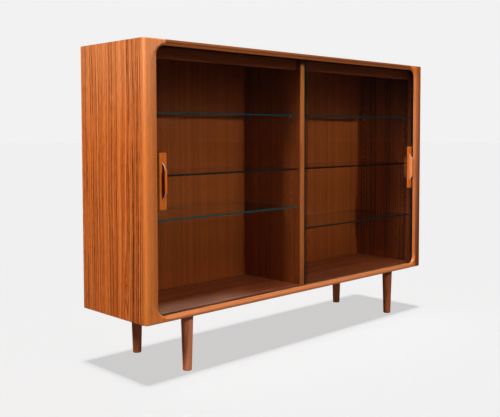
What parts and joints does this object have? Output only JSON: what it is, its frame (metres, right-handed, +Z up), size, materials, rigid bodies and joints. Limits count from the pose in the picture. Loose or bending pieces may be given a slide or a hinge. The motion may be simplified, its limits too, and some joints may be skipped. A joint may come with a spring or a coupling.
{
  "type": "glass-door bookcase",
  "caption": "Low mid-century teak bookcase on turned tapered legs, with a rounded bevelled front frame, sliding glass doors with wooden pulls, a centre divider and glass shelves.",
  "frame": {"origin": "on the floor under the middle of the case, halfway between the front of the door pulls and the rear edges", "axes": "+Z up, +X to the right as seen from the front, -Y towards the person in front; the glass doors face -Y"},
  "size_m": [1.6, 0.382, 1.14],
  "materials": {
    "teak_veneer": "oiled teak veneer on board, upright grain",
    "solid_teak": "oiled solid teak",
    "pull_teak": "oiled solid teak",
    "leg_teak": "oiled solid teak, darker",
    "shelf_glass": "clear float glass, polished edges",
    "door_glass": "clear float glass, polished edges",
    "pin_brass": "dull brass",
    "dowel_beech": "raw beech",
    "spline_plywood": "raw plywood",
    "track_plastic": "dark brown plastic strip",
    "zinc_steel": "zinc plated steel"
  },
  "bodies": {
    "case": {"side_panel_left": "teak_veneer", "side_panel_right": "teak_veneer", "top_panel": "teak_veneer", "bottom_panel": "teak_veneer", "centre_divider": "teak_veneer", "back_panel": "teak_veneer", "valance_left": "teak_veneer", "valance_right": "teak_veneer", "front_stile_left": "solid_teak", "front_stile_right": "solid_teak", "front_rail_top": "solid_teak", "front_rail_bottom": "solid_teak", "leg_front_left": "leg_teak", "leg_rear_left": "leg_teak", "leg_front_right": "leg_teak", "leg_rear_right": "leg_teak", "glass_shelf_left_1": "shelf_glass", "glass_shelf_left_2": "shelf_glass", "glass_shelf_left_3": "shelf_glass", "glass_shelf_right_1": "shelf_glass", "glass_shelf_right_2": "shelf_glass", "glass_shelf_right_3": "shelf_glass", "shelf_pins_left_1": "pin_brass", "shelf_pins_left_2": "pin_brass", "shelf_pins_left_3": "pin_brass", "shelf_pins_right_1": "pin_brass", "shelf_pins_right_2": "pin_brass", "shelf_pins_right_3": "pin_brass", "rear_shelf_stud": "pin_brass", "stile_dowels": "dowel_beech", "rail_dowels": "dowel_beech", "divider_dowels": "dowel_beech", "valance_dowels": "dowel_beech", "mitre_spline_top_left": "spline_plywood", "mitre_spline_top_right": "spline_plywood", "mitre_spline_bottom_left": "spline_plywood", "mitre_spline_bottom_right": "spline_plywood", "upper_door_track": "track_plastic", "lower_door_track": "track_plastic", "back_panel_screws": "zinc_steel", "leg_bolts": "zinc_steel", "leg_inserts": "zinc_steel"},
    "left_door": {"glass_door_left": "door_glass", "door_pull_left": "pull_teak"},
    "right_door": {"glass_door_right": "door_glass", "door_pull_right": "pull_teak"}
  },
  "joints": [
    {"name": "left_door_slide", "type": "slide", "parent": "case", "child": "left_door", "axis": [1, 0, 0], "range_m": [-0.022, 0.345]},
    {"name": "right_door_slide", "type": "slide", "parent": "case", "child": "right_door", "axis": [-1, 0, 0], "range_m": [0, 0.345]}
  ]
}
